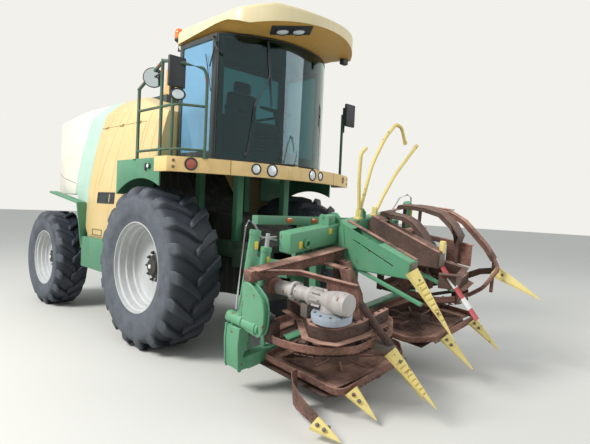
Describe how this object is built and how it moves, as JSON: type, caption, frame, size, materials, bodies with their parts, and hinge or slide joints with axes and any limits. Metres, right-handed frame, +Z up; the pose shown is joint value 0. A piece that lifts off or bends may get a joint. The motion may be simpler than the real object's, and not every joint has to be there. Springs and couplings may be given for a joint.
{
  "type": "forage harvester",
  "caption": "Self-propelled forage harvester: cab over the driven front axle, engine hood and swung spout behind, steered rear wheels and a folded maize header.",
  "frame": {"origin": "on the ground under the middle of the bounding box of the whole machine at rest", "axes": "-Y is the direction of travel, +X is the machine's own left side, +Z is up"},
  "size_m": [4.0706, 8.086, 3.9819],
  "materials": {
    "frame_paint": "dull dark green paint",
    "engine_iron": "painted iron",
    "housing_paint": "dusty black paint",
    "green_paint": "faded green enamel",
    "cream_paint": "faded cream enamel",
    "roof_cream": "sun-bleached cream",
    "stripe_paint": "bleached green",
    "lamp_glass": "clear lamp lens",
    "cab_trim": "dark grey paint",
    "glass": "tinted cab glass",
    "seat_fabric": "woven fabric",
    "black_plastic": "moulded black plastic",
    "beacon_orange": "orange lens",
    "spout_paint": "worn ochre paint",
    "rusty_steel": "rusty steel plate",
    "tip_yellow": "faded yellow enamel",
    "gearbox_alloy": "cast alloy",
    "tyre": "dusty rubber",
    "rim_silver": "dusty silver paint"
  },
  "bodies": {
    "chassis": {"frame": "frame_paint", "hitch_plate": "frame_paint", "lift_arms": "frame_paint", "feed_housing": "housing_paint", "front_axle": "frame_paint", "rear_axle": "frame_paint", "engine": "engine_iron", "crop_housing": "housing_paint", "side_boxes": "green_paint", "platform": "green_paint", "light_bar": "cream_paint", "bar_lamps": "lamp_glass", "cab_shell": "cab_trim", "cab_roof": "roof_cream", "windscreen": "glass", "cab_glass": "glass", "seat": "seat_fabric", "console": "black_plastic", "rails": "frame_paint", "mirrors": "black_plastic", "hood_top_panel": "cream_paint", "hood_band": "stripe_paint", "rear_hood": "roof_cream", "rear_fenders": "green_paint", "beacon": "beacon_orange"},
    "door": {"cab_door": "cab_trim", "door_glass": "glass"},
    "side_panel_right": {"side_panel_right": "cream_paint"},
    "side_panel_left": {"side_panel_left": "cream_paint"},
    "rear_grille": {"rear_grille": "housing_paint"},
    "knuckle_right": {"knuckle_right": "frame_paint"},
    "knuckle_left": {"knuckle_left": "frame_paint"},
    "wheel_front_right": {"tyre_front_right": "tyre", "rim_front_right": "rim_silver"},
    "wheel_front_left": {"tyre_front_left": "tyre", "rim_front_left": "rim_silver"},
    "wheel_rear_right": {"tyre_rear_right": "tyre", "rim_rear_right": "rim_silver"},
    "wheel_rear_left": {"tyre_rear_left": "tyre", "rim_rear_left": "rim_silver"},
    "spout_turret": {"spout_elbow": "spout_paint"},
    "spout": {"spout_arm": "cream_paint"},
    "spout_flap": {"spout_flap": "cream_paint"},
    "lift": {"lift_frame": "green_paint"},
    "header": {"header_frame": "green_paint", "header_deck": "rusty_steel", "header_tips": "tip_yellow", "guide_tubes": "tip_yellow"},
    "wing_right": {"wing_frame_right": "green_paint", "wing_deck_right": "rusty_steel", "wing_tips_right": "tip_yellow", "wing_gearbox": "gearbox_alloy"},
    "wing_left": {"wing_frame_left": "green_paint", "wing_deck_left": "rusty_steel", "wing_tips_left": "tip_yellow"}
  },
  "joints": [
    {"name": "wheel_front_right_spin", "type": "hinge", "parent": "chassis", "child": "wheel_front_right", "pos_m": [-1.6803, -0.187, 0.947], "axis": [1, 0, 0], "continuous": true},
    {"name": "steer_right", "type": "hinge", "parent": "chassis", "child": "knuckle_right", "pos_m": [-1.3053, 2.943, 0.747], "axis": [0, 0, 1], "range_deg": [-28, 28]},
    {"name": "wheel_rear_right_spin", "type": "hinge", "parent": "knuckle_right", "child": "wheel_rear_right", "pos_m": [-1.6953, 2.943, 0.747], "axis": [1, 0, 0], "continuous": true},
    {"name": "wheel_front_left_spin", "type": "hinge", "parent": "chassis", "child": "wheel_front_left", "pos_m": [0.6697, -0.187, 0.947], "axis": [1, 0, 0], "continuous": true},
    {"name": "steer_left", "type": "hinge", "parent": "chassis", "child": "knuckle_left", "pos_m": [0.2947, 2.943, 0.747], "axis": [0, 0, 1], "range_deg": [-28, 28]},
    {"name": "wheel_rear_left_spin", "type": "hinge", "parent": "knuckle_left", "child": "wheel_rear_left", "pos_m": [0.6847, 2.943, 0.747], "axis": [1, 0, 0], "continuous": true},
    {"name": "door_hinge", "type": "hinge", "parent": "chassis", "child": "door", "pos_m": [0.4107, -0.139, 2.91], "axis": [0, 0, 1], "range_deg": [0, 75]},
    {"name": "panel_right_hinge", "type": "hinge", "parent": "chassis", "child": "side_panel_right", "pos_m": [-1.55698, 1.013, 2.76], "axis": [0, 1, 0], "range_deg": [0, 85]},
    {"name": "panel_left_hinge", "type": "hinge", "parent": "chassis", "child": "side_panel_left", "pos_m": [0.54638, 1.013, 2.76], "axis": [0, -1, 0], "range_deg": [0, 85]},
    {"name": "grille_hinge", "type": "hinge", "parent": "chassis", "child": "rear_grille", "pos_m": [-1.0593, 3.922, 2.09], "axis": [0, 0, 1], "range_deg": [0, 95]},
    {"name": "turret_swing", "type": "hinge", "parent": "chassis", "child": "spout_turret", "pos_m": [-0.5053, 1.453, 3.332], "axis": [0, 0, 1], "range_deg": [-55, 145]},
    {"name": "spout_tilt", "type": "hinge", "parent": "spout_turret", "child": "spout", "pos_m": [-0.30024, 1.65806, 3.782], "axis": [0.7071, -0.7071, 0], "range_deg": [0, 30]},
    {"name": "flap_tilt", "type": "hinge", "parent": "spout", "child": "spout_flap", "pos_m": [1.65845, 3.61675, 3.742], "axis": [-0.7071, 0.7071, 0], "range_deg": [0, 30]},
    {"name": "header_lift", "type": "hinge", "parent": "chassis", "child": "lift", "pos_m": [-0.5053, -1.317, 1.06], "axis": [-1, 0, 0], "range_deg": [0, 20]},
    {"name": "header_swing", "type": "hinge", "parent": "lift", "child": "header", "pos_m": [-0.5053, -1.787, 1.25], "axis": [0, 1, 0], "range_deg": [0, 14]},
    {"name": "wing_right_fold", "type": "hinge", "parent": "header", "child": "wing_right", "pos_m": [-1.86553, -2.28536, 0.65353], "axis": [0.0145, -0.9945, -0.1035], "range_deg": [0, 175]},
    {"name": "wing_left_fold", "type": "hinge", "parent": "header", "child": "wing_left", "pos_m": [0.96664, -2.28536, 1.05157], "axis": [-0.0145, 0.9945, 0.1035], "range_deg": [0, 175]}
  ],
  "couplings": [
    {"joint": "steer_left", "follows": "steer_right", "ratio": 1}
  ]
}
